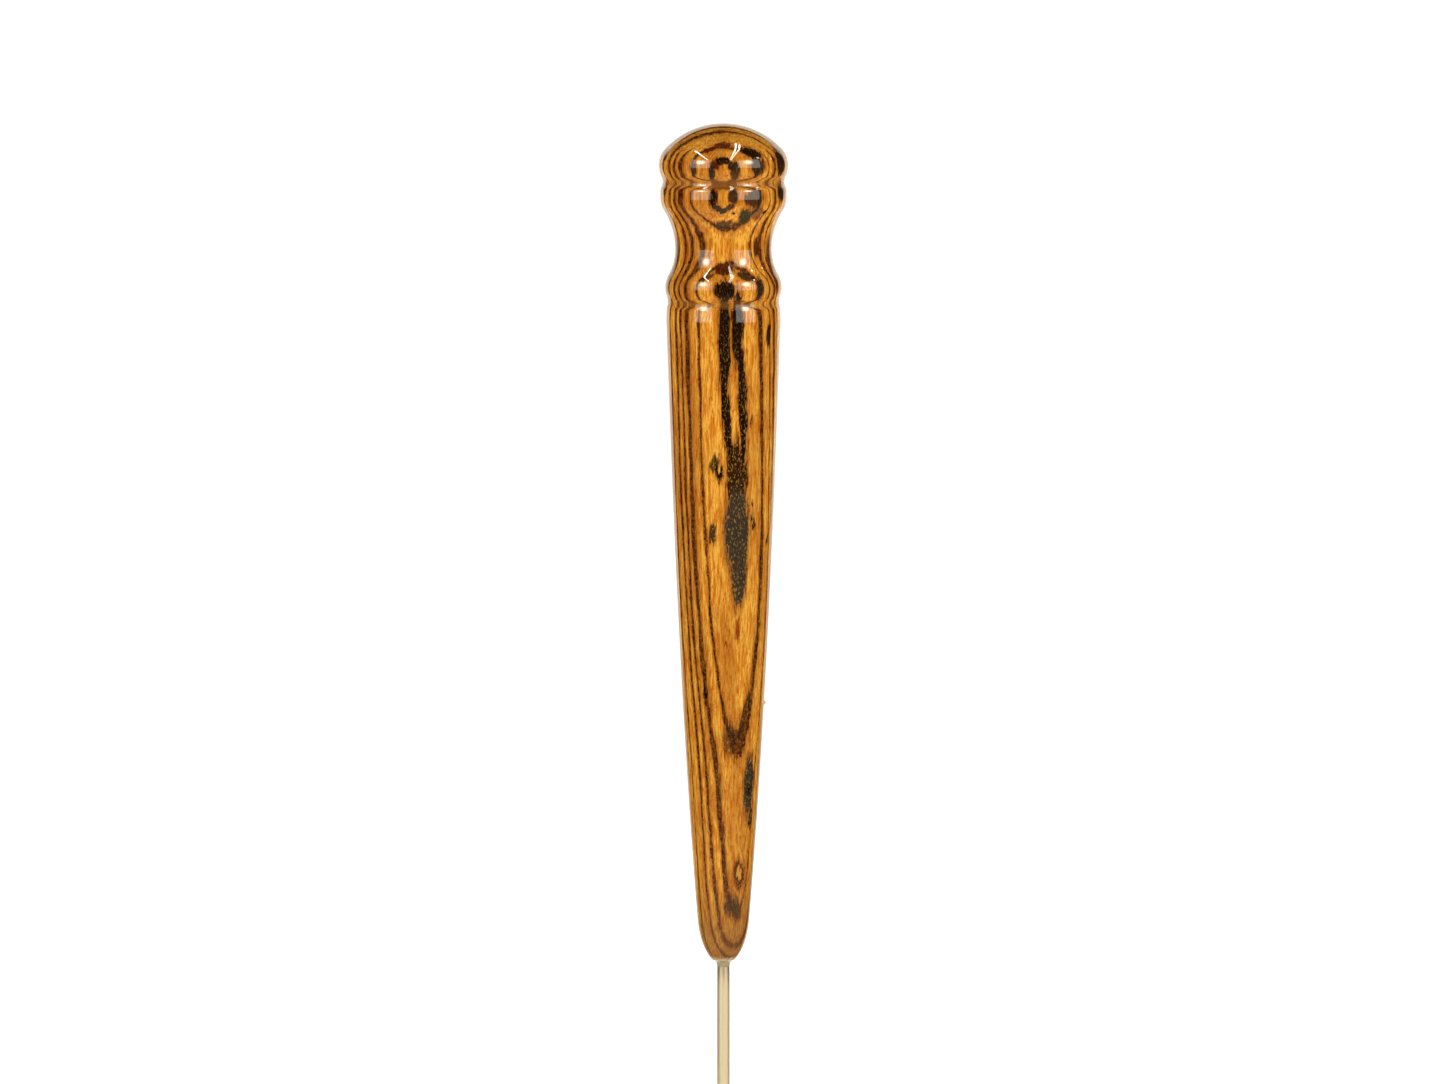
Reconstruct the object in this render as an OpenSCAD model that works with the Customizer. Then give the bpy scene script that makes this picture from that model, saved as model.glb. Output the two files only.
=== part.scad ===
// Scratch awl for leatherwork: a slim pointed steel rod glued into a long handle,
// turned in one piece and sealed under a thick, clear, high-gloss finish.
// Millimetres. +Z runs up the awl's axis, from the point to the handle's domed end.
// The origin is on the axis at the handle's mouth, where the bare round shaft
// leaves the fillet of glue. Every piece is a solid of revolution about Z.

/* [Handle] */
// Largest diameter, at the domed end
head_d = 24.1; // [22:0.1:26]
// Height of the dome's crown above the mouth
crown_z = 158.5; // [150:0.5:168]
// Radius of the flattish crown
crown_r = 14.9; // [13.5:0.1:18]
// Height of the dome's widest line below the crown
head_drop = 7.8; // [6.5:0.05:8.5]
// Diameter of the cylindrical bead under the dome
bead_d = 23.5; // [22:0.1:24]
// Diameter at the narrow waist between the bead and the grip's collar
waist_d = 18; // [14:0.1:20]
// Diameter of the rounded collar under the waist
collar_d = 21.7; // [20:0.1:23]
// Diameter at the top of the grip
grip_d = 21.3; // [19:0.1:23]
// Diameter where the grip starts to round off to the mouth
nose_d = 9.8; // [8:0.1:12]
// Diameter of the handle's end at the mouth, finish included
mouth_d = 4.4; // [4.2:0.1:6]

/* [Finish] */
// Thickness of the clear finish over the wood
coat_t = 0.25; // [0.1:0.05:0.4]
// Depth of the groove under the dome, cut in the wood
groove_1_depth = 1.75; // [0.6:0.05:2]
// Depth left in that groove after the finish has filled it
groove_1_left = 0.4; // [0.1:0.05:0.5]
// Depth of the groove over the grip, cut in the wood
groove_2_depth = 1.1; // [0.4:0.05:1.5]
// Depth left in that groove after the finish has filled it
groove_2_left = 0.2; // [0.1:0.05:0.3]

/* [Shaft] */
// Diameter of the steel rod
rod_d = 2.38; // [2:0.01:3.2]
// Length of bare shaft from the mouth to the point
shaft_len = 76; // [60:1:100]
// Length of the ground point
point_len = 18; // [8:1:30]
// Radius left at the very tip
tip_r = 0.12; // [0.05:0.01:0.3]
// Length of rod glued into the handle
tang_len = 38; // [20:1:45]
// Diameter that the glued end is ground down to at its inner end
tang_end_d = 2; // [1.6:0.1:2.3]

/* [Bond] */
// Diameter of the hole drilled for the rod
bore_d = 2.8; // [2.6:0.05:3.5]
// Height of the glue fillet round the shaft at the mouth
fillet_h = 2.1; // [1:0.1:3]

/* [Hidden] */
$fn = 96;

// Heights above the mouth of the features turned on the handle
head_z = crown_z - head_drop;
groove_1_top_z = crown_z - 9.6;
groove_1_low_z = crown_z - 12.1;
bead_low_z = crown_z - 13.7;
waist_z = crown_z - 23.3;
collar_z = crown_z - 30.4;
groove_2_top_z = crown_z - 32.1;
groove_2_low_z = crown_z - 34.3;
grip_top_z = crown_z - 36.5;
nose_z = 10;

// Corner radii of the bead and of the collar, where they roll over to the waist
bead_r = 4.8;
collar_r = 4.8;

// The dome's shoulder arc ends upright at the widest line and is tangent inside the
// crown's arc, which fixes its radius
crown_c = crown_z - crown_r;
head_rise = head_z - crown_c;
shoulder_r = (crown_r ^ 2 - (head_d / 2) ^ 2 - head_rise ^ 2) / (2 * crown_r - head_d);
shoulder_c = head_d / 2 - shoulder_r;
shoulder_a = atan2(head_rise, shoulder_c);

// Each half of the waist is an arc that ends upright at the narrowest line and is
// tangent outside the rounded corner it meets
bead_c = bead_d / 2 - bead_r;
collar_c = collar_d / 2 - collar_r;
function waist_r(corner_c, corner_r, rise) =
    (corner_r ^ 2 - (waist_d / 2 - corner_c) ^ 2 - rise ^ 2)
    / (2 * (waist_d / 2 - corner_c - corner_r));
upper_r = waist_r(bead_c, bead_r, bead_low_z - waist_z);
lower_r = waist_r(collar_c, collar_r, waist_z - collar_z);
upper_a = asin((bead_low_z - waist_z) / (bead_r + upper_r));
lower_a = asin((waist_z - collar_z) / (collar_r + lower_r));

// Radii that pull the grip's long taper into its gentle swell, then the corners that
// round the nose down to the mouth, each as [radius, height]
grip_pull = [grip_d / 2, 9.75, 8.65, 7.2, nose_d / 2];
nose_pull = [[nose_d / 2, nose_z], [4.6, 6.6], [3.8, 4], [mouth_d / 2, fillet_h]];

// Drill point angle of the hole, and the space left past the end of the rod
drill_point_a = 118;
bore_spare = 2;
bore_cone_h = bore_d / 2 / tan(drill_point_a / 2);
bore_top_z = fillet_h + tang_len + bore_spare;

// The rod's glued end tapers from the mouth, and has ring grooves filed in it to key
// the glue
rod_r = rod_d / 2;
key_depth = 0.15;
key_w = 1;
keys = 3;
tang_top_z = fillet_h + tang_len;
tang_chamfer = 0.3;
function tang_r(z) = rod_r + (tang_end_d / 2 - rod_r) * z / tang_top_z;

// Points of an arc about c, from angle a0 to a1
function arc(c, r, a0, a1, n) =
    [for (i = [0:n]) c + r * [cos(a0 + (a1 - a0) * i / n), sin(a0 + (a1 - a0) * i / n)]];

// A point of the Bezier curve with the given corners, at t from 0 to 1
function bezier(p, t) = len(p) == 1
    ? p[0]
    : bezier([for (i = [1:len(p) - 1]) p[i - 1] * (1 - t) + p[i] * t], t);

// Points of a curve of n steps through bezier's corners
function curve(p, n) = [for (i = [0:n]) bezier(p, i / n)];

// Points inside a groove turned between two edges
function groove(top, low, depth, n) =
    [for (i = [1:n - 1]) top + (low - top) * i / n - [depth * sin(180 * i / n), 0]];

// A list of points without its first, where a stretch starts at the last one's end
function tail(p) = [for (i = [1:len(p) - 1]) p[i]];

// Radius on an arc about c at height z
function arc_at(c, r, z) = c[0] + sqrt(r ^ 2 - (z - c[1]) ^ 2);

// The handle's outline from the crown down to the mouth, as [radius, height], at
// depth t under the outside of the finish and with grooves of the given depths
function outline(t, depth_1, depth_2) =
    let (
        edge_1 = [arc_at([shoulder_c, head_z], shoulder_r - t, groove_1_top_z), groove_1_top_z],
        edge_2 = [bead_d / 2 - t, groove_1_low_z],
        edge_3 = [arc_at([collar_c, collar_z], collar_r - t, groove_2_top_z), groove_2_top_z],
        edge_4 = [grip_d / 2 - 0.05 - t, groove_2_low_z],
        edge_1_a = asin((groove_1_top_z - head_z) / (shoulder_r - t)),
        edge_3_a = asin((groove_2_top_z - collar_z) / (collar_r - t)),
        grip_h = grip_top_z - nose_z,
        grip = [for (i = [0:24]) [bezier(grip_pull, i / 24) - t, grip_top_z - grip_h * i / 24]],
        nose = [for (p = curve(nose_pull, 16)) p - [t, 0]]
    )
    concat(
        arc([0, crown_c], crown_r - t, 90, shoulder_a, 16),
        tail(arc([shoulder_c, head_z], shoulder_r - t, shoulder_a, edge_1_a, 16)),
        groove(edge_1, edge_2, depth_1, 12),
        [edge_2],
        arc([bead_c, bead_low_z], bead_r - t, 0, -upper_a, 8),
        tail(arc([waist_d / 2 + upper_r, waist_z], upper_r + t, 180 - upper_a, 180, 10)),
        tail(arc([waist_d / 2 + lower_r, waist_z], lower_r + t, 180, 180 + lower_a, 10)),
        tail(arc([collar_c, collar_z], collar_r - t, lower_a, edge_3_a, 12)),
        groove(edge_3, edge_4, depth_2, 10),
        [edge_4],
        grip,
        tail(nose)
    );

finish_outline = outline(0, groove_1_left, groove_2_left);
wood_outline = outline(coat_t, groove_1_depth, groove_2_depth);

// Half section of the drilled hole, from a height at or under the handle's end up to
// the cone that the drill leaves
module bore_outline(low_z) {
    polygon([
        [0, low_z],
        [bore_d / 2, low_z],
        [bore_d / 2, bore_top_z],
        [0, bore_top_z + bore_cone_h]
    ]);
}

// Turned wooden handle, with a blind hole drilled up its axis for the rod
module handle() {
    cut_below = 1;
    color("#b9722a")
    difference() {
        rotate_extrude() polygon(concat(wood_outline, [[0, fillet_h]]));
        rotate_extrude() bore_outline(fillet_h - cut_below);
    }
}

// Clear finish over all the turned wood, thick enough to fill most of both grooves
module clear_finish() {
    inner = [for (i = [len(wood_outline) - 1:-1:0]) wood_outline[i]];
    color("#e8d9b0", 0.4)
    rotate_extrude() polygon(concat(finish_outline, inner));
}

// Steel rod with a ground point at one end and its glued tang at the other
module awl_shaft() {
    // The point is a tangent ogive: one arc, upright where it leaves the rod
    ogive_r = (point_len ^ 2 + (rod_r - tip_r) ^ 2) / (2 * (rod_r - tip_r));
    point_a = asin(point_len / ogive_r);
    point = arc([rod_r - ogive_r, point_len - shaft_len], ogive_r, -point_a, 0, 24);
    key_pitch = tang_len / (keys + 1);
    key_rings = [
        for (i = [1:keys], p = [[0, -1], [1, -1], [1, 1], [0, 1]])
            let (z = fillet_h + i * key_pitch + p[1] * key_w / 2)
            [tang_r(z) - p[0] * key_depth, z]
    ];
    chamfer_z = tang_top_z - tang_chamfer;
    tang_end = [[tang_r(chamfer_z), chamfer_z], [tang_r(chamfer_z) - tang_chamfer, tang_top_z]];
    color("#cfc6b0")
    rotate_extrude()
    polygon(concat(
        [[0, -shaft_len]],
        point,
        [[rod_r, 0]],
        key_rings,
        tang_end,
        [[0, tang_top_z]]
    ));
}

// Cured glue that fills the hole round the rod and swells to a fillet at the mouth
module epoxy_bond() {
    reach = mouth_d / 2 - rod_r;
    fillet_r = (reach ^ 2 + fillet_h ^ 2) / (2 * reach);
    fillet_a = asin(fillet_h / fillet_r);
    color("#d8c07a", 0.7)
    difference() {
        union() {
            rotate_extrude() polygon(concat(
                [[0, 0]],
                arc([rod_r + fillet_r, 0], fillet_r, 180, 180 - fillet_a, 12),
                [[0, fillet_h]]
            ));
            rotate_extrude() bore_outline(fillet_h);
        }
        awl_shaft();
    }
}

handle();
clear_finish();
awl_shaft();
epoxy_bond();
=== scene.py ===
import math

import bmesh
import bpy
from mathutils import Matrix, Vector


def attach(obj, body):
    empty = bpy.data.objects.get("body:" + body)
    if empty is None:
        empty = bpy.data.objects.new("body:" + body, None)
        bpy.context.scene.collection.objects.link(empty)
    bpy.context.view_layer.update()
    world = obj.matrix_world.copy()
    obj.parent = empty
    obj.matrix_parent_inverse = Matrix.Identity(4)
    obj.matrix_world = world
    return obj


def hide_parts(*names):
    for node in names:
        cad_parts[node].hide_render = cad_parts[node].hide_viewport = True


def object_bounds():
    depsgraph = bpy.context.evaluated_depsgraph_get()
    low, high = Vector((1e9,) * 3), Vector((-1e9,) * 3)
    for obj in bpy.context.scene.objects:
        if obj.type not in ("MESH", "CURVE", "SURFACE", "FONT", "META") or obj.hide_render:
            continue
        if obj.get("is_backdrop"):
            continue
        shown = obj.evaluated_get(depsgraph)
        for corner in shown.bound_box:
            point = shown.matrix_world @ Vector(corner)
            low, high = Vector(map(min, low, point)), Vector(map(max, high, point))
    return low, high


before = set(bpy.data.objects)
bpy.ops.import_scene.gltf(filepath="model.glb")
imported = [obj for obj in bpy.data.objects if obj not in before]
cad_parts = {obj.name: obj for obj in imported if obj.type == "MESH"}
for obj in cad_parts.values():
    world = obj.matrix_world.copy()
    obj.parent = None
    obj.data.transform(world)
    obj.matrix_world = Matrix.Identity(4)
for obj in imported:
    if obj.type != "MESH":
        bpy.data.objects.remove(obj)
cad_low, cad_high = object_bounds()

# ---- Turned handle -----------------------------------------------------------------
# One length of bocote turned on a lathe: dome, groove, bead, waist, collar, groove and
# long tapering grip. It is drilled up its axis for the rod and sealed under a thick
# clear gloss finish, which nearly fills both grooves.

MM = 0.001

# Radii and heights in millimetres, heights from where the bare rod leaves the glue
CROWN_Z = 158.5
CROWN_R = 14.9
HEAD_R = 12.05
HEAD_Z = CROWN_Z - 7.8
GROOVE_1_TOP_Z = CROWN_Z - 9.6
GROOVE_1_LOW_Z = CROWN_Z - 12.1
GROOVE_1_DEPTH = 0.4
BEAD_R = 11.75
BEAD_CORNER_R = 4.8
BEAD_LOW_Z = CROWN_Z - 13.7
WAIST_R = 9
WAIST_Z = CROWN_Z - 23.3
COLLAR_R = 10.85
COLLAR_CORNER_R = 4.8
COLLAR_Z = CROWN_Z - 30.4
GROOVE_2_TOP_Z = CROWN_Z - 32.1
GROOVE_2_LOW_Z = CROWN_Z - 34.3
GROOVE_2_DEPTH = 0.2
GRIP_EDGE_R = 10.6
GRIP_TOP_Z = CROWN_Z - 36.5
GRIP_PULL = [10.65, 9.75, 8.65, 7.2, 4.9]
NOSE_Z = 10
NOSE_PULL = [(4.9, NOSE_Z), (4.6, 6.6), (3.8, 4)]
MOUTH_R = 2.2
MOUTH_Z = 2.1
ARRIS = 0.4
BORE_R = 1.4
BORE_TOP_Z = 42.2
DRILL_POINT_A = 118
BORE_TIP_Z = BORE_TOP_Z + BORE_R / math.tan(math.radians(DRILL_POINT_A / 2))
NIB = (7.6, 0, 50.5)
NIB_R = 0.6
NIB_RISE = 0.3

# Steps round the axis and along each curve of the outline, the gap within which two
# points are one, and the angle in degrees past which an edge stays crisp
TURNED_STEPS = 160
DOME_STEPS = 32
GROOVE_1_STEPS = 16
HOLLOW_STEPS = 16
COLLAR_STEPS = 20
GROOVE_2_STEPS = 12
ARRIS_STEPS = 8
GRIP_STEPS = 720
GRIP_SPACING = 10
NOSE_STEPS = 24
MERGE_GAP = 0.001
CRISP_A = 30


def arc(centre, radius, start, end, steps):
    """Points of an arc about centre, from one angle to the other in degrees."""
    points = []
    for i in range(steps + 1):
        angle = math.radians(start + (end - start) * i / steps)
        across, up = radius * math.cos(angle), radius * math.sin(angle)
        points.append((centre[0] + across, centre[1] + up))
    return points


def curve(corners, steps):
    """Points of the Bezier curve that the corners pull."""
    points = []
    for i in range(steps + 1):
        row = [Vector(corner) for corner in corners]
        while len(row) > 1:
            row = [a.lerp(b, i / steps) for a, b in zip(row, row[1:])]
        points.append(tuple(row[0]))
    return points


def groove(top, low, depth, steps):
    """Points of a groove from its top edge to its lower one, which the finish rounds off."""
    points = []
    for i in range(steps + 1):
        share = i / steps
        radius = top[0] + (low[0] - top[0]) * share - depth * math.sin(math.pi * share)
        points.append((radius, top[1] + (low[1] - top[1]) * share))
    last = steps - steps // 5
    return points[:last] + curve([points[last], low, (low[0], low[1] - ARRIS)], ARRIS_STEPS)


def waist_arc_r(corner_c, corner_r, rise):
    """Radius of the hollow arc that meets a rounded corner and ends upright at the waist."""
    reach = WAIST_R - corner_c
    return (corner_r ** 2 - reach ** 2 - rise ** 2) / (2 * (reach - corner_r))


def turned(name, outline):
    """A solid turned about Z from an outline of (radius, height) in millimetres."""
    shape = bmesh.new()
    points = [shape.verts.new((r * MM, 0, z * MM)) for r, z in outline]
    edges = [shape.edges.new(pair) for pair in zip(points, points[1:])]
    bmesh.ops.spin(
        shape,
        geom=points + edges,
        cent=(0, 0, 0),
        axis=(0, 0, 1),
        angle=math.tau,
        steps=TURNED_STEPS,
        use_merge=True,
    )
    bmesh.ops.remove_doubles(shape, verts=shape.verts, dist=MERGE_GAP * MM)
    bmesh.ops.recalc_face_normals(shape, faces=shape.faces)
    mesh = bpy.data.meshes.new(name)
    shape.to_mesh(mesh)
    shape.free()
    mesh.shade_smooth()
    mesh.set_sharp_from_angle(angle=math.radians(CRISP_A))
    piece = bpy.data.objects.new(name, mesh)
    bpy.context.scene.collection.objects.link(piece)
    return piece


crown_c = CROWN_Z - CROWN_R
head_rise = HEAD_Z - crown_c
shoulder_r = (CROWN_R ** 2 - HEAD_R ** 2 - head_rise ** 2) / (2 * (CROWN_R - HEAD_R))
shoulder_c = HEAD_R - shoulder_r
shoulder_a = math.degrees(math.atan2(head_rise, shoulder_c))
edge_1_a = math.degrees(math.asin((GROOVE_1_TOP_Z - HEAD_Z) / shoulder_r))
shoulder = arc((shoulder_c, HEAD_Z), shoulder_r, shoulder_a, edge_1_a, DOME_STEPS)

bead_c = BEAD_R - BEAD_CORNER_R
upper_r = waist_arc_r(bead_c, BEAD_CORNER_R, BEAD_LOW_Z - WAIST_Z)
upper_a = math.degrees(math.asin((BEAD_LOW_Z - WAIST_Z) / (BEAD_CORNER_R + upper_r)))
collar_c = COLLAR_R - COLLAR_CORNER_R
lower_r = waist_arc_r(collar_c, COLLAR_CORNER_R, WAIST_Z - COLLAR_Z)
lower_a = math.degrees(math.asin((WAIST_Z - COLLAR_Z) / (COLLAR_CORNER_R + lower_r)))
edge_2_a = math.degrees(math.asin((GROOVE_2_TOP_Z - COLLAR_Z) / COLLAR_CORNER_R))
collar = arc((collar_c, COLLAR_Z), COLLAR_CORNER_R, lower_a, edge_2_a, COLLAR_STEPS)

grip_corners = []
for i, radius in enumerate(GRIP_PULL):
    share = i / (len(GRIP_PULL) - 1)
    grip_corners.append((radius, GRIP_TOP_Z - (GRIP_TOP_Z - NOSE_Z) * share))

# Rings every millimetre and a half down the grip, and much closer ones at the nib
grip = []
for i, (radius, at_z) in enumerate(curve(grip_corners, GRIP_STEPS)):
    if i % GRIP_SPACING == 0 or abs(at_z - NIB[2]) < NIB_R:
        grip.append((radius, at_z))

handle_outline = (
    arc((0, crown_c), CROWN_R, 90, shoulder_a, DOME_STEPS)
    + shoulder
    + groove(shoulder[-1], (BEAD_R, GROOVE_1_LOW_Z), GROOVE_1_DEPTH, GROOVE_1_STEPS)
    + arc((bead_c, BEAD_LOW_Z), BEAD_CORNER_R, 0, -upper_a, HOLLOW_STEPS)
    + arc((WAIST_R + upper_r, WAIST_Z), upper_r, 180 - upper_a, 180, HOLLOW_STEPS)
    + arc((WAIST_R + lower_r, WAIST_Z), lower_r, 180, 180 + lower_a, HOLLOW_STEPS)
    + collar
    + groove(collar[-1], (GRIP_EDGE_R, GROOVE_2_LOW_Z), GROOVE_2_DEPTH, GROOVE_2_STEPS)
    + grip
    + curve([*NOSE_PULL, (MOUTH_R, MOUTH_Z)], NOSE_STEPS)
    + [(BORE_R, MOUTH_Z), (BORE_R, BORE_TOP_Z), (0, BORE_TIP_Z)]
)
handle = turned("turned_handle", handle_outline)

# A nib of dust caught in the finish low on the grip's right side
for vertex in handle.data.vertices:
    off = (vertex.co - Vector(NIB) * MM).length / (NIB_R * MM)
    if off < 1:
        vertex.co.x += NIB_RISE * MM * (1 - off ** 2) ** 2


def linear(code):
    """An sRGB colour code such as "c98a2b" as linear red, green, blue and full alpha."""
    parts = [int(code[i:i + 2], 16) / 255 for i in (0, 2, 4)]
    return [c / 12.92 if c <= 0.04045 else ((c + 0.055) / 1.055) ** 2.4 for c in parts] + [1]


def add(tree, kind, inputs, out=0, **settings):
    """Adds a node with its settings and inputs, values or links, and returns its output."""
    node = tree.nodes.new("ShaderNode" + kind)
    for name, value in settings.items():
        setattr(node, name, value)
    for socket, value in inputs.items():
        if isinstance(value, bpy.types.NodeSocket):
            tree.links.new(value, node.inputs[socket])
        else:
            node.inputs[socket].default_value = value
    return node.outputs[out] if node.outputs else node


def material(name):
    """A new material and its empty node tree."""
    made = bpy.data.materials.new(name)
    made.use_nodes = True
    made.node_tree.nodes.clear()
    return made, made.node_tree


# Bocote's colours as the finish deepens them: the golden ground and its warmer streaks,
# the dark figure lines and their red-brown margin, and the stain at the knots, which is
# grey-brown or greenish black with a lighter heart and stray golden fibres
GOLD = linear("cc9638")
AMBER = linear("a75b10")
RUST = linear("7c3608")
BLACK = linear("180903")
UMBER = linear("3e1504")
BLOOD = linear("6e2606")
CHOCOLATE = linear("271a10")
OLIVE = linear("25230a")
ASH = linear("2e261d")
HEART = linear("b07a2c")
TAN = linear("a07834")

# The nose's darker brown, finish pooled in a groove, and glue wiped over the mouth
NOSE_DARK = linear("5c3a20")
POOLED = linear("8a5a2a")
KHAKI = linear("a89a74")

# Sizes in millimetres across the grain of what varies in the wood, and how much slower
# it varies up the grain. Real pores are about 0.15 mm across and the fibres finer still,
# too fine to show, so both are drawn coarser.
WANDER_SIZE = 4.5
BREAK_SIZE = 1.1
MOTTLE_SIZE = 0.6
RAGGED_SIZE = 0.45
FIBRE_SIZE = 0.4
PORE_SIZE = 0.25
FLECK_SIZE = 0.22
STREAK_GRAIN = (1, 1, 0.12)
FIBRE_GRAIN = (1, 1, 0.1)
PORE_GRAIN = (1, 1, 0.2)
FLECK_GRAIN = (1, 1, 0.35)

# Noise levels between which each change comes in, and how strong it grows
TINT_LEVELS = (0.42, 0.58)
WARM_LEVELS = (0.45, 0.75)
WARM_MOST = 0.55
PORE_LEVELS = (0.58, 0.68)
PORE_MOST = 0.7
FLECK_LEVELS = (0.56, 0.66)
FLECK_MOST = (0.6, 0.15)
FLECK_ON_LINES = 0.25
SOLID_LEVELS = (0.35, 0.6)
SOLID_MOST = (0.6, 0.95)
MARGIN_MOST = 0.6
NOSE_DARK_MOST = 0.6
WIPED_MOST = 0.9

# Growth layers, which lie nearly square to the front: each layer's distance in front of
# the axis and half its width in millimetres, and how strongly it shows to the left and
# to the right of the front and over the dome
LAYERS = [
    (-10.9, 0.3, 1, 1, 1),
    (-9.6, 0.15, 0.8, 0.9, 1),
    (-8.3, 0.2, 1, 0.7, 1),
    (-7.2, 0.12, 0.7, 1, 1),
    (-5.9, 0.25, 0.9, 1, 1),
    (-4.4, 0.15, 1, 0.8, 1),
    (-3.2, 0.22, 0.8, 1, 1),
    (-1.9, 0.12, 1, 0.7, 1),
    (-0.6, 0.2, 0.8, 0.9, 1.8),
    (1, 0.2, 0.8, 0.6, 1.2),
    (3.1, 0.22, 1, 0.35, 1.8),
    (4.35, 0.23, 1, 1, 0.05),
    (5.6, 0.28, 1, 0.25, 0.05),
    (7.15, 0.2, 0.55, 1, 1.3),
]
# How far forward the layers stand at each height, and how far they have turned about
# the axis at the foot of the handle, easing to nothing at its top
FIGURE_TOP_Z = 158
LIFT = [
    (0, 0),
    (12, -0.5),
    (30, -0.1),
    (40, 0.15),
    (50, 0.05),
    (70, 0),
    (90, 0.55),
    (105, 1.15),
    (120, 1.7),
    (130, 2),
    (145, 2.8),
    (152, 3.3),
    (158, 3.3),
]
LIFT_RANGE = (-1, 4)
TWIST = math.radians(30)

# How far in millimetres each noise bends the layers, and the breadth in millimetres
# over which a layer's left strength gives way to its right one
WANDER_BEND = 0.5
RAGGED_BEND = 0.35
MOTTLE_BEND = 0.2
SIDES_X = (-1, 4)

# Where a layer's line fades out, in half widths, and where its margin does, with how
# much noise breaks its width and frays its edge, and how slim it is at the nose
LINE_EDGE = (1.35, 0.85)
LINE_MARGIN = 3.2
BREAK_LEVELS = (0.25, 0.7)
BREAK_WIDTHS = (0.45, 1.4)
FRAY_LEVELS = (0.3, 0.7)
FRAY = 0.45
SLIM = 0.65

# Knots, stains and thick stretches of the figure on the front: degrees round from the
# front, height, half width in degrees, half height, lean in degrees, colour, strength
MARKS = [
    (-14, 153.9, 7, 0.4, 20, UMBER, 0.9),
    (0, 154.7, 9, 0.5, 0, UMBER, 0.9),
    (-1, 151.8, 7, 0.7, 0, BLACK, 1),
    (-8, 151, 3.5, 0.9, 35, UMBER, 1),
    (-10.5, 149.6, 2.6, 1.6, 0, CHOCOLATE, 1),
    (-7, 147.9, 4, 0.5, -30, UMBER, 1),
    (8, 151, 4, 0.9, -35, CHOCOLATE, 1),
    (10.5, 149.8, 4, 1.6, 0, CHOCOLATE, 0.9),
    (7, 148, 5, 0.5, 30, UMBER, 0.9),
    (-27, 150.4, 3, 1.4, 0, CHOCOLATE, 0.9),
    (27, 153.3, 11, 0.8, -20, BLACK, 1),
    (31.5, 150.8, 7, 1.7, 0, CHOCOLATE, 0.95),
    (63, 151.6, 8, 2.4, 0, BLACK, 0.95),
    (-67, 152.5, 3.5, 1, 0, UMBER, 0.9),
    (-68, 146.5, 4, 1.2, 0, UMBER, 0.8),
    (66, 146, 7, 1.7, 0, BLACK, 0.95),
    (0, 147, 11, 0.35, 0, UMBER, 0.8),
    (-9.5, 145, 3.6, 1.9, 0, BLACK, 1),
    (9, 145.4, 4.2, 1.5, 0, CHOCOLATE, 0.95),
    (-5.5, 143.1, 4.5, 0.5, -30, CHOCOLATE, 1),
    (5.5, 143.3, 4.5, 0.5, 30, CHOCOLATE, 0.9),
    (0, 142.6, 4, 0.45, 0, OLIVE, 1),
    (34, 142.4, 6, 1.4, 20, CHOCOLATE, 0.5),
    (29, 144.9, 9, 1.6, 0, CHOCOLATE, 0.9),
    (22, 141.6, 6.5, 1.4, 0, OLIVE, 1),
    (0, 140, 11, 0.8, 0, CHOCOLATE, 0.8),
    (10, 142.3, 1.4, 0.35, 0, BLACK, 1),
    (43, 142.3, 1.6, 0.35, 0, BLACK, 1),
    (-23, 136, 1.6, 0.4, 0, UMBER, 1),
    (42, 135.8, 4, 1.7, 0, UMBER, 0.95),
    (67, 132.5, 6, 5, 0, UMBER, 0.8),
    (-71, 132, 4, 5, 0, UMBER, 0.8),
    (1, 131.8, 10, 1, 0, UMBER, 1),
    (-17, 130.4, 8, 0.45, 25, CHOCOLATE, 0.8),
    (23, 130.6, 9, 0.7, -25, CHOCOLATE, 0.9),
    (1.2, 128, 10.5, 1.8, 0, BLACK, 1),
    (38.5, 128.3, 4.5, 2, 0, CHOCOLATE, 0.95),
    (1, 118.5, 6, 11, 0, BLACK, 1),
    (3.5, 104, 5, 8.5, 5, BLACK, 1),
    (14.5, 121, 6, 7, 0, BLACK, 1),
    (20.5, 107.5, 4.5, 11.5, 3, BLACK, 1),
    (15, 93, 11.5, 7, 0, BLACK, 0.95),
    (15.5, 83.5, 14.5, 8, 0, ASH, 1),
    (19, 76, 9.5, 6.5, 0, ASH, 1),
    (18, 65, 1.8, 2.2, 0, BLOOD, 0.8),
    (52, 119.5, 3, 2, 0, BLACK, 0.95),
    (31.5, 104, 1.5, 0.7, 0, UMBER, 1),
    (-9.5, 96, 5, 1.5, -20, OLIVE, 0.9),
    (-6, 94.6, 3.4, 2, 12, BLACK, 1),
    (-12.3, 82.8, 4.2, 2, 0, CHOCOLATE, 0.9),
    (35.5, 85.3, 2.2, 1.6, 15, BLACK, 1),
    (34, 88.3, 1.5, 0.7, 0, UMBER, 1),
    (61, 81, 2, 0.7, 0, BLACK, 1),
    (3, 62, 1.5, 0.6, 0, BLACK, 1),
    (-26, 53, 3.5, 1.2, 0, BLACK, 1),
    (9, 44.5, 10, 3, 0, CHOCOLATE, 0.6),
    (31, 49, 4, 5, -18, CHOCOLATE, 0.85),
    (44, 35.4, 10.5, 5.6, 0, ASH, 1),
    (52, 29, 5.5, 1.8, 0, CHOCOLATE, 0.95),
    (45, 35, 4.8, 1.3, 0, BLACK, 1),
    (32, 19, 12, 2.6, 8, UMBER, 0.9),
    (32, 19, 6, 1.3, 8, HEART, 1),
    (15, 13, 13, 2, 10, CHOCOLATE, 0.9),
    (31, 12, 10, 2, 25, OLIVE, 0.8),
]
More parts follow.
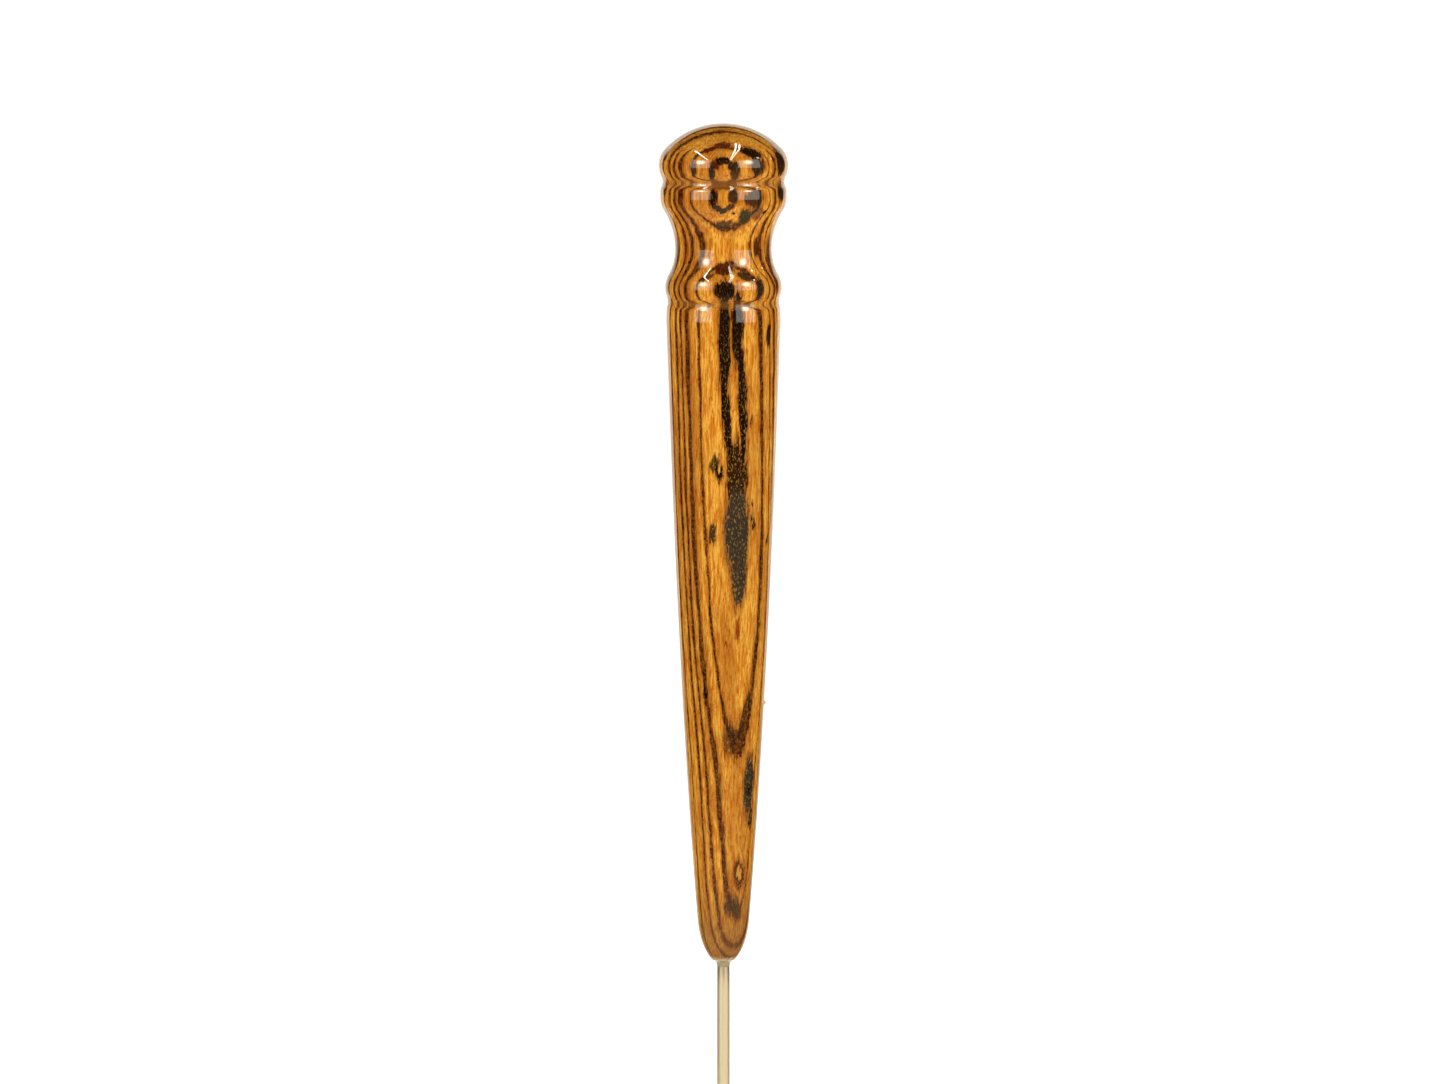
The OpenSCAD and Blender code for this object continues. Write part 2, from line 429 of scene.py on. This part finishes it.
# Where a mark fades out, in half sizes, and where its margin does; how far in
# millimetres two noises shake its outline, across and up the grain, and how calm that
# is on the dome; its share of the lines' fray; and the radius at which the front's
# degrees are laid out as millimetres
MARK_EDGE = (1.15, 0.85)
MARK_MARGIN = 1.5
RAGGED_SHAKE = (2, 5, 0)
FINE_SHAKE = (1, 2.5, 0)
CALM = 0.3
MARK_FRAY = 0.6
ROLL_R = 10

# Shares by which the wood stands in from the finish at the bottom of the two grooves,
# how much of a groove's width is that deep, and how fast the finish pooled there turns
# hazy with that share
GROOVE_1_INSET = 0.1
GROOVE_2_INSET = 0.075
GROOVE_BOTTOM = 0.2
HAZE = 4

# Heights between which the lines thicken from slim at the nose, the marks' edges grow
# calm, the flecks thin out, the dome's own layers take over, the darker colour towards
# the nose fades, and the wiped glue ends
SLIM_Z = (15, 70)
CALM_Z = (100, 126)
FLECKED_Z = (100, 124)
DOME_FIGURE_Z = (151.5, 154.5)
NOSE_DARK_Z = (22, 3)
WIPED_Z = (2.9, 2.4)

# Bocote, turned and sanded, under a thick polished gloss finish: the wood itself shines
# little, and the smooth clear finish over it mirrors the room as sharply as glass.
# Sockets go by number where their names repeat: Map Range has its value at 0, the range
# it comes from at 1 and 2, and the range it goes to at 3 and 4; a colour Mix has its
# share at 0, its colours at 6 and 7, and its result at output 2.
bocote, wood = material("bocote under thick gloss finish")
coords = add(wood, "TexCoord", {}, out="Object")
place = add(wood, "VectorMath", {0: coords, 1: (1 / MM, 1 / MM, 1 / MM)}, operation="MULTIPLY")
x = add(wood, "SeparateXYZ", {0: place}, out="X")
y = add(wood, "SeparateXYZ", {0: place}, out="Y")
z = add(wood, "SeparateXYZ", {0: place}, out="Z")

# The wood lies deeper than the finish in the two grooves, so its figure is drawn there
# as the smaller radius would cut it
depth = 1
pooled = 0
for top, low, inset in (
    (GROOVE_1_TOP_Z, GROOVE_1_LOW_Z, GROOVE_1_INSET),
    (GROOVE_2_TOP_Z, GROOVE_2_LOW_Z, GROOVE_2_INSET),
):
    half = (top - low) / 2
    off = add(wood, "Math", {0: z, 1: (top + low) / 2}, operation="SUBTRACT")
    off = add(wood, "Math", {0: off}, operation="ABSOLUTE")
    cut = {0: off, 1: half, 2: GROOVE_BOTTOM * half, 4: inset}
    cut = add(wood, "MapRange", cut, interpolation_type="SMOOTHSTEP")
    depth = add(wood, "Math", {0: depth, 1: cut}, operation="SUBTRACT")
    pooled = add(wood, "Math", {0: cut, 1: HAZE, 2: pooled}, operation="MULTIPLY_ADD")
wood_x = add(wood, "Math", {0: x, 1: depth}, operation="MULTIPLY")
wood_y = add(wood, "Math", {0: y, 1: depth}, operation="MULTIPLY")
solid = add(wood, "CombineXYZ", {0: wood_x, 1: wood_y, 2: z})

# Noise in the wood runs along the grain, so it is drawn out in height
streaks = add(wood, "VectorMath", {0: solid, 1: STREAK_GRAIN}, operation="MULTIPLY")
wander = add(wood, "TexNoise", {"Vector": streaks, "Scale": 1 / WANDER_SIZE, "Detail": 1})
broken = add(wood, "TexNoise", {"Vector": streaks, "Scale": 1 / BREAK_SIZE, "Detail": 2})
mottle = add(wood, "TexNoise", {"Vector": solid, "Scale": 1 / MOTTLE_SIZE, "Detail": 3})
ragged = {"Vector": streaks, "Scale": 1 / RAGGED_SIZE, "Detail": 3, "Roughness": 0.65}
ragged = add(wood, "TexNoise", ragged)

# How far each point lies in front of the axis, square to the layers as they turn
turn = {0: z, 1: -TWIST / FIGURE_TOP_Z, 2: TWIST}
turn = add(wood, "Math", turn, operation="MULTIPLY_ADD")
sine = add(wood, "Math", {0: turn}, operation="SINE")
cosine = add(wood, "Math", {0: turn}, operation="COSINE")
ahead = add(wood, "Math", {0: wood_x, 1: sine}, operation="MULTIPLY")
back = add(wood, "Math", {0: wood_y, 1: cosine}, operation="MULTIPLY")
ahead = add(wood, "Math", {0: ahead, 1: back}, operation="SUBTRACT")
height = add(wood, "MapRange", {0: z, 2: FIGURE_TOP_Z})
lift = add(wood, "FloatCurve", {1: height})
lift_curve = lift.node.mapping.curves[0]
low, high = LIFT_RANGE
for i, (at_z, value) in enumerate(LIFT):
    spot = (at_z / FIGURE_TOP_Z, (value - low) / (high - low))
    if i in (0, len(LIFT) - 1):
        lift_curve.points[0 if i == 0 else -1].location = spot
    else:
        lift_curve.points.new(*spot)
lift.node.mapping.update()
lift = add(wood, "MapRange", {0: lift, 3: low, 4: high})
layer = add(wood, "Math", {0: ahead, 1: lift}, operation="SUBTRACT")
for noise, bend in ((wander, WANDER_BEND), (ragged, RAGGED_BEND), (mottle, MOTTLE_BEND)):
    layer = add(wood, "Math", {0: noise, 1: bend, 2: layer}, operation="MULTIPLY_ADD")
average = 0.5 * (WANDER_BEND + RAGGED_BEND + MOTTLE_BEND)
layer = add(wood, "Math", {0: layer, 1: average}, operation="SUBTRACT")
side = {0: x, 1: SIDES_X[0], 2: SIDES_X[1]}
side = add(wood, "MapRange", side, interpolation_type="SMOOTHSTEP")

# Ground colour: fibres from golden to amber, warmer drifts, and pores as dark dashes
fibre = add(wood, "VectorMath", {0: solid, 1: FIBRE_GRAIN}, operation="MULTIPLY")
fine = {"Vector": fibre, "Scale": 1 / FIBRE_SIZE, "Detail": 5, "Roughness": 0.75}
fine = add(wood, "TexNoise", fine)
tint = add(wood, "MapRange", {0: fine, 1: TINT_LEVELS[0], 2: TINT_LEVELS[1]})
colour = add(wood, "Mix", {0: tint, 6: AMBER, 7: GOLD}, out=2, data_type="RGBA")
warm = {0: wander, 1: WARM_LEVELS[0], 2: WARM_LEVELS[1], 4: WARM_MOST}
warm = add(wood, "MapRange", warm)
colour = add(wood, "Mix", {0: warm, 6: colour, 7: RUST}, out=2, data_type="RGBA")
pore = add(wood, "VectorMath", {0: solid, 1: PORE_GRAIN}, operation="MULTIPLY")
pore = {"Vector": pore, "Scale": 1 / PORE_SIZE, "Detail": 2, "Roughness": 0.6}
pore = add(wood, "TexNoise", pore)
pores = {0: pore, 1: PORE_LEVELS[0], 2: PORE_LEVELS[1], 4: PORE_MOST}
pores = add(wood, "MapRange", pores)
colour = add(wood, "Mix", {0: pores, 6: colour, 7: RUST}, out=2, data_type="RGBA")

# The growth layers, each with a ragged edge and a soft red-brown margin
dark = 0
margin = 0
width_share = {0: broken, 1: BREAK_LEVELS[0], 2: BREAK_LEVELS[1]}
width_share |= {3: BREAK_WIDTHS[0], 4: BREAK_WIDTHS[1]}
width_share = add(wood, "MapRange", width_share)
slim = add(wood, "MapRange", {0: z, 1: SLIM_Z[0], 2: SLIM_Z[1], 3: SLIM, 4: 1})
width_share = add(wood, "Math", {0: width_share, 1: slim}, operation="MULTIPLY")
edge = {0: fine, 1: FRAY_LEVELS[0], 2: FRAY_LEVELS[1], 3: -FRAY, 4: FRAY}
edge = add(wood, "MapRange", edge)
dome = {0: z, 1: DOME_FIGURE_Z[0], 2: DOME_FIGURE_Z[1]}
dome = add(wood, "MapRange", dome, interpolation_type="SMOOTHSTEP")
for level, half, left, right, top in LAYERS:
    off = add(wood, "Math", {0: layer, 1: level}, operation="SUBTRACT")
    off = add(wood, "Math", {0: off}, operation="ABSOLUTE")
    strength = add(wood, "MapRange", {0: side, 3: left, 4: right})
    over = add(wood, "MapRange", {0: dome, 3: 1, 4: top})
    strength = add(wood, "Math", {0: strength, 1: over}, operation="MULTIPLY")
    reach = add(wood, "Math", {0: width_share, 1: strength}, operation="MULTIPLY")
    reach = add(wood, "Math", {0: reach, 1: half}, operation="MULTIPLY")
    share = add(wood, "Math", {0: off, 1: reach}, operation="DIVIDE")
    rough = add(wood, "Math", {0: share, 1: edge}, operation="ADD")
    line = {0: rough, 1: LINE_EDGE[0], 2: LINE_EDGE[1]}
    line = add(wood, "MapRange", line, interpolation_type="SMOOTHSTEP")
    rim = {0: share, 1: LINE_MARGIN, 2: 1}
    rim = add(wood, "MapRange", rim, interpolation_type="SMOOTHSTEP")
    dark = add(wood, "Math", {0: dark, 1: line}, operation="MAXIMUM")
    margin = add(wood, "Math", {0: margin, 1: rim}, operation="MAXIMUM")

# The front laid out flat, its edges roughened along the grain
front = add(wood, "Math", {0: wood_y, 1: -1}, operation="MULTIPLY")
round_a = add(wood, "Math", {0: wood_x, 1: front}, operation="ARCTAN2")
rolled = add(wood, "Math", {0: round_a, 1: ROLL_R}, operation="MULTIPLY")
rolled = add(wood, "CombineXYZ", {0: rolled, 1: z})
calm = add(wood, "MapRange", {0: z, 1: CALM_Z[0], 2: CALM_Z[1], 3: 1, 4: CALM})
for noise, reach in ((ragged, RAGGED_SHAKE), (fine, FINE_SHAKE)):
    shake = add(wood, "Math", {0: noise, 1: 0.5}, operation="SUBTRACT")
    shake = add(wood, "Math", {0: shake, 1: calm}, operation="MULTIPLY")
    rolled = add(wood, "VectorMath", {0: shake, 1: reach, 2: rolled}, operation="MULTIPLY_ADD")
grit = add(wood, "Math", {0: edge, 1: MARK_FRAY}, operation="MULTIPLY")
stains = []
for across, at_z, half_a, half_z, lean, stain, strength in MARKS:
    spot = add(
        wood,
        "Mapping",
        {
            "Vector": rolled,
            "Location": (math.radians(across) * ROLL_R, at_z, 0),
            "Rotation": (0, 0, math.radians(lean)),
            "Scale": (math.radians(half_a) * ROLL_R, half_z, 1),
        },
        vector_type="TEXTURE",
    )
    far = add(wood, "VectorMath", {0: spot}, out="Value", operation="LENGTH")
    rim = {0: far, 1: MARK_MARGIN, 2: 1}
    rim = add(wood, "MapRange", rim, interpolation_type="SMOOTHSTEP")
    margin = add(wood, "Math", {0: margin, 1: rim}, operation="MAXIMUM")
    far = add(wood, "Math", {0: far, 1: grit}, operation="ADD")
    share = {0: far, 1: MARK_EDGE[0], 2: MARK_EDGE[1], 4: strength}
    share = add(wood, "MapRange", share, interpolation_type="SMOOTHSTEP")
    stains.append((share, stain))

# Lines and marks over their margins, over the ground
margin = add(wood, "Math", {0: margin, 1: MARGIN_MOST}, operation="MULTIPLY")
colour = add(wood, "Mix", {0: margin, 6: colour, 7: BLOOD}, out=2, data_type="RGBA")
solidity = {0: mottle, 1: SOLID_LEVELS[0], 2: SOLID_LEVELS[1]}
solidity |= {3: SOLID_MOST[0], 4: SOLID_MOST[1]}
solidity = add(wood, "MapRange", solidity)
dark = add(wood, "Math", {0: dark, 1: solidity}, operation="MULTIPLY")
line_tone = add(wood, "Mix", {0: tint, 6: BLACK, 7: UMBER}, out=2, data_type="RGBA")
colour = add(wood, "Mix", {0: dark, 6: colour, 7: line_tone}, out=2, data_type="RGBA")
for share, stain in stains:
    colour = add(wood, "Mix", {0: share, 6: colour, 7: stain}, out=2, data_type="RGBA")

# Golden flecks of fibre that the stain missed
fleck = add(wood, "VectorMath", {0: solid, 1: FLECK_GRAIN}, operation="MULTIPLY")
fleck = {"Vector": fleck, "Scale": 1 / FLECK_SIZE, "Detail": 2, "Roughness": 0.6}
fleck = add(wood, "TexNoise", fleck)
most = {0: z, 1: FLECKED_Z[0], 2: FLECKED_Z[1], 3: FLECK_MOST[0], 4: FLECK_MOST[1]}
most = add(wood, "MapRange", most)
plain = add(wood, "MapRange", {0: dark, 3: 1, 4: FLECK_ON_LINES})
most = add(wood, "Math", {0: most, 1: plain}, operation="MULTIPLY")
fleck = {0: fleck, 1: FLECK_LEVELS[0], 2: FLECK_LEVELS[1], 4: most}
fleck = add(wood, "MapRange", fleck)
colour = add(wood, "Mix", {0: fleck, 6: colour, 7: TAN}, out=2, data_type="RGBA")

# The colour darkens towards the nose
toward_nose = {0: z, 1: NOSE_DARK_Z[0], 2: NOSE_DARK_Z[1], 4: NOSE_DARK_MOST}
toward_nose = add(wood, "MapRange", toward_nose, interpolation_type="SMOOTHSTEP")
colour = add(wood, "Mix", {0: toward_nose, 6: colour, 7: NOSE_DARK}, out=2, data_type="RGBA")

# The finish pooled in the grooves is hazy, and the glue wiped over the mouth is khaki
colour = add(wood, "Mix", {0: pooled, 6: colour, 7: POOLED}, out=2, data_type="RGBA")
wiped = add(wood, "Math", {0: z, 1: edge}, operation="ADD")
wiped = {0: wiped, 1: WIPED_Z[0], 2: WIPED_Z[1], 4: WIPED_MOST}
wiped = add(wood, "MapRange", wiped)
colour = add(wood, "Mix", {0: wiped, 6: colour, 7: KHAKI}, out=2, data_type="RGBA")

gloss = add(
    wood,
    "BsdfPrincipled",
    {
        "Base Color": colour,
        "Roughness": 0.5,
        "Specular IOR Level": 0,
        "Coat Weight": 1,
        "Coat Roughness": 0.02,
        "Coat IOR": 1.5,
    },
)
add(wood, "OutputMaterial", {"Surface": gloss})
handle.data.materials.append(bocote)
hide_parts("handle", "clear_finish")
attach(handle, "root")

# ---- Steel shaft -------------------------------------------------------------------
# A length of ground steel rod, ogival at its point. Its other end is tapered, scored
# with three file rings to key the glue, and set in the handle.

ROD_R = 1.19
SHAFT_LEN = 76
POINT_LEN = 18
TIP_R = 0.12
POINT_STEPS = 36
TANG_TOP_Z = 40.1
TANG_END_R = 1
TANG_CHAMFER = 0.3
KEY_HEIGHTS = [11.6, 21.1, 30.6]
KEY_HALF = 0.5
KEY_DEPTH = 0.15


def tang_r(at_z):
    """Radius of the tapering tang at a height above the mouth."""
    return ROD_R + (TANG_END_R - ROD_R) * at_z / TANG_TOP_Z


ogive_r = (POINT_LEN ** 2 + (ROD_R - TIP_R) ** 2) / (2 * (ROD_R - TIP_R))
point_a = math.degrees(math.asin(POINT_LEN / ogive_r))
tang = [(ROD_R, 0)]
for key_z in KEY_HEIGHTS:
    low_z, top_z = key_z - KEY_HALF, key_z + KEY_HALF
    for cut_in, at_z in ((0, low_z), (KEY_DEPTH, low_z), (KEY_DEPTH, top_z), (0, top_z)):
        tang.append((tang_r(at_z) - cut_in, at_z))
chamfer_z = TANG_TOP_Z - TANG_CHAMFER
chamfer_r = tang_r(chamfer_z)
tang += [(chamfer_r, chamfer_z), (chamfer_r - TANG_CHAMFER, TANG_TOP_Z), (0, TANG_TOP_Z)]
point = arc((ROD_R - ogive_r, POINT_LEN - SHAFT_LEN), ogive_r, -point_a, 0, POINT_STEPS)
shaft = turned("steel_shaft", [(0, -SHAFT_LEN)] + point + tang)

# Tool steel, ground: a faintly yellow grey with a soft satin shine, a little brighter
# just under the handle, where wiping the glue off has rubbed it
STEEL = linear("e4d8bc")
SATIN_Z = -4 * MM
RUBBED_Z = 1 * MM
SATIN = 0.62
RUBBED = 0.4

steel, metal = material("ground tool steel")
coords = add(metal, "TexCoord", {}, out="Object")
up = add(metal, "SeparateXYZ", {0: coords}, out="Z")
sheen = {0: up, 1: SATIN_Z, 2: RUBBED_Z, 3: SATIN, 4: RUBBED}
sheen = add(metal, "MapRange", sheen, interpolation_type="SMOOTHSTEP")
surface = {"Base Color": STEEL, "Metallic": 1, "Roughness": sheen}
surface = add(metal, "BsdfPrincipled", surface)
add(metal, "OutputMaterial", {"Surface": surface})
shaft.data.materials.append(steel)
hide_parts("awl_shaft")
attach(shaft, "root")

# ---- Glue --------------------------------------------------------------------------
# Cured two-part epoxy: it fills the drilled hole round the tang, and what squeezed out
# at the mouth was wiped to a small clear fillet against the rod.

FILLET_LOW_Z = 0.8
FILLET_STEPS = 16

fillet_reach = MOUTH_R - ROD_R
fillet_rise = MOUTH_Z - FILLET_LOW_Z
fillet_r = (fillet_reach ** 2 + fillet_rise ** 2) / (2 * fillet_reach)
fillet_a = math.degrees(math.asin(fillet_rise / fillet_r))
fillet = arc((ROD_R + fillet_r, FILLET_LOW_Z), fillet_r, 180 - fillet_a, 180, FILLET_STEPS)
bond = turned(
    "epoxy_bond_fillet",
    [(0, BORE_TIP_Z), (BORE_R, BORE_TOP_Z), (BORE_R, MOUTH_Z)] + fillet + tang[1:],
)

# Epoxy, wiped and cured: wet-looking, and khaki from the steel and the wood that show
# through so thin a film
RESIN = linear("8c8264")

epoxy, glue = material("cured clear epoxy")
surface = add(
    glue,
    "BsdfPrincipled",
    {
        "Base Color": RESIN,
        "Roughness": 0.15,
        "Coat Weight": 1,
        "Coat Roughness": 0.03,
    },
)
add(glue, "OutputMaterial", {"Surface": surface})
bond.data.materials.append(epoxy)
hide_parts("epoxy_bond")
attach(bond, "root")

# ---- Studio ------------------------------------------------------------------------
# A plain white floor in a dim room, lit by two softboxes in front, three ceiling tubes
# and two small lamps at the right. Both edges of the glossy handle also mirror a pale
# backdrop behind it.

HEAD_HEIGHT = 0.15

# Each softbox's name, degrees round from the front and width
SOFTBOXES = [
    ("left_softbox", -42, 0.82),
    ("right_softbox", 47, 0.95),
]
SOFTBOX_FAR = 1.2
SOFTBOX_LOW = 0.05
SOFTBOX_HIGH = 0.84
SOFTBOX_MIDDLE = 0.56
SOFTBOX_REACH = 0.27
SOFTBOX_STRONG = 28
SOFTBOX_WEAK = 3.4

BACKDROP_LOW = (0, 1.2, -2)
BACKDROP_HIGH = (0, 1.2, 0.85)
BACKDROP_WIDTH = 2
BACKDROP_GLOW = 1.35

# Each tube's and lamp's name, its two ends and its width
TUBES = [
    ("left_tube", (-0.78, 0.08, 1.45), (-1.08, -1.76, 1.45), 0.08),
    ("right_tube", (0.4, 0.28, 1.6), (0.63, -2.6, 1.6), 0.045),
    ("right_tube_pair", (0.3, 0.28, 1.6), (0.5, -2.3, 1.6), 0.045),
    ("right_lamp", (1.2, -0.38, 0.9), (1.2, -0.38, 1.0), 0.1),
    ("far_lamp", (1.37, 0.28, 0.68), (1.37, 0.28, 0.73), 0.05),
]
TUBE_GLOW = 30

FLOOR_HALF = 20
FLOOR_GLOW = 0.9
NEAR_FLOOR_START = (0, 0.05, cad_low.z)
NEAR_FLOOR_END = (0, -0.6, cad_low.z)
NEAR_FLOOR_WIDTH = 1.2
NEAR_FLOOR_DARK = 0.6
NEAR_FLOOR_LIT = 0.15
NEAR_FLOOR_GLOW = 0.6

# The room's brightness as it lights the awl, as the gloss mirrors it, and as it is seen
ROOM_LIGHT = 0.32
ROOM_MIRRORED = 0.024
ROOM_SEEN = 1.2


def light_strip(name, start, end, width, glow):
    """A flat glowing strip between two points, facing the handle's head, unseen itself."""
    start, end, head = Vector(start), Vector(end), Vector((0, 0, HEAD_HEIGHT))
    across = (end - start).cross((start + end) / 2 - head).normalized() * width / 2
    shape = bmesh.new()
    corners = [start - across, start + across, end + across, end - across]
    shape.faces.new([shape.verts.new(corner) for corner in corners])
    mesh = bpy.data.meshes.new(name)
    shape.to_mesh(mesh)
    shape.free()
    mesh.materials.append(glow)
    strip = bpy.data.objects.new(name, mesh)
    bpy.context.scene.collection.objects.link(strip)
    strip.visible_camera = False
    strip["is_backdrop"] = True
    return strip


def glow_material(name, colour, middle, near, far, strong, weak):
    """A glow that is strong near its middle and weak far from it, in metres."""
    glow, tree = material(name)
    off = add(tree, "TexCoord", {}, out="Object")
    off = add(tree, "VectorMath", {0: off, 1: middle}, out="Value", operation="DISTANCE")
    power = {0: off, 1: near, 2: far, 3: strong, 4: weak}
    power = add(tree, "MapRange", power, interpolation_type="SMOOTHSTEP")
    light = add(tree, "Emission", {"Color": linear(colour), "Strength": power})
    add(tree, "OutputMaterial", {"Surface": light})
    return glow


# White cloth over a lamp: a soft warm white, brightest in front of the lamp
for name, azimuth, width in SOFTBOXES:
    angle = math.radians(azimuth)
    x_at, y_at = SOFTBOX_FAR * math.sin(angle), -SOFTBOX_FAR * math.cos(angle)
    cloth = glow_material(
        name,
        "fcfaec",
        (x_at, y_at, SOFTBOX_MIDDLE),
        0,
        SOFTBOX_REACH,
        SOFTBOX_STRONG,
        SOFTBOX_WEAK,
    )
    light_strip(name, (x_at, y_at, SOFTBOX_LOW), (x_at, y_at, SOFTBOX_HIGH), width, cloth)

# A lit off-white backdrop: an even pale cream
cream = glow_material("backdrop", "faf8ea", BACKDROP_LOW, 0, 1, BACKDROP_GLOW, BACKDROP_GLOW)
light_strip("backdrop", BACKDROP_LOW, BACKDROP_HIGH, BACKDROP_WIDTH, cream)

# Fluorescent tubes: a hard, even, slightly warm white
tube_glow = glow_material("ceiling tube", "fffaf0", (0, 0, 0), 0, 1, TUBE_GLOW, TUBE_GLOW)
for name, start, end, width in TUBES:
    tube = light_strip(name, start, end, width, tube_glow)
    tube.visible_diffuse = False

shape = bmesh.new()
bmesh.ops.create_grid(shape, x_segments=1, y_segments=1, size=FLOOR_HALF)
floor_mesh = bpy.data.meshes.new("floor")
shape.to_mesh(floor_mesh)
shape.free()
floor = bpy.data.objects.new("floor", floor_mesh)
bpy.context.scene.collection.objects.link(floor)
floor.location = (0, 0, cad_low.z)
floor.visible_glossy = False

# Matt white paper, lit evenly from close by: a flat white with no shine
paper, tree = material("white paper floor")
surface = add(
    tree,
    "BsdfPrincipled",
    {
        "Base Color": (0.9, 0.9, 0.89, 1),
        "Roughness": 0.9,
        "Emission Color": (1, 1, 0.98, 1),
        "Emission Strength": FLOOR_GLOW,
    },
)
add(tree, "OutputMaterial", {"Surface": surface})
floor_mesh.materials.append(paper)
floor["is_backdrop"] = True

# What the gloss mirrors of the floor in front: dimly lit near the awl, dark further off
near_glow = glow_material(
    "dim floor in front",
    "ffdcb8",
    (0, 0, 0),
    NEAR_FLOOR_LIT,
    NEAR_FLOOR_DARK,
    NEAR_FLOOR_GLOW,
    0,
)
near = light_strip("near_floor", NEAR_FLOOR_START, NEAR_FLOOR_END, NEAR_FLOOR_WIDTH, near_glow)
near.visible_diffuse = False

world = bpy.data.worlds.new("studio room")
world.use_nodes = True
sky = world.node_tree
sky.nodes.clear()
seen = add(sky, "LightPath", {}, out="Is Camera Ray")
mirrored = add(sky, "LightPath", {}, out="Is Glossy Ray")
level = add(sky, "MapRange", {0: mirrored, 3: ROOM_LIGHT, 4: ROOM_MIRRORED})
level = add(sky, "Mix", {0: seen, 2: level, 3: ROOM_SEEN})
room = add(sky, "Background", {"Color": (1, 1, 1, 1), "Strength": level})
add(sky, "OutputWorld", {"Surface": room})
bpy.context.scene.world = world
bpy.context.scene.view_settings.view_transform = "Standard"

# ---- Camera ------------------------------------------------------------------------
# A long lens a little over a metre in front, looking slightly down at the handle. The
# lens and sensor are in millimetres.

SENSOR_WIDTH = 36
LENS_LENGTH = 159.44637
CLIP_FAR = 100
CAMERA_AT = (-0.00017, -1.18673, 0.1907)
CAMERA_TILT = 84.7

lens = bpy.data.cameras.new("camera")
lens.sensor_width = SENSOR_WIDTH
lens.lens = LENS_LENGTH
lens.clip_end = CLIP_FAR
camera = bpy.data.objects.new("camera", lens)
camera.location = CAMERA_AT
camera.rotation_euler = (math.radians(CAMERA_TILT), 0, 0)
bpy.context.scene.collection.objects.link(camera)
bpy.context.scene.camera = camera

low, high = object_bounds()
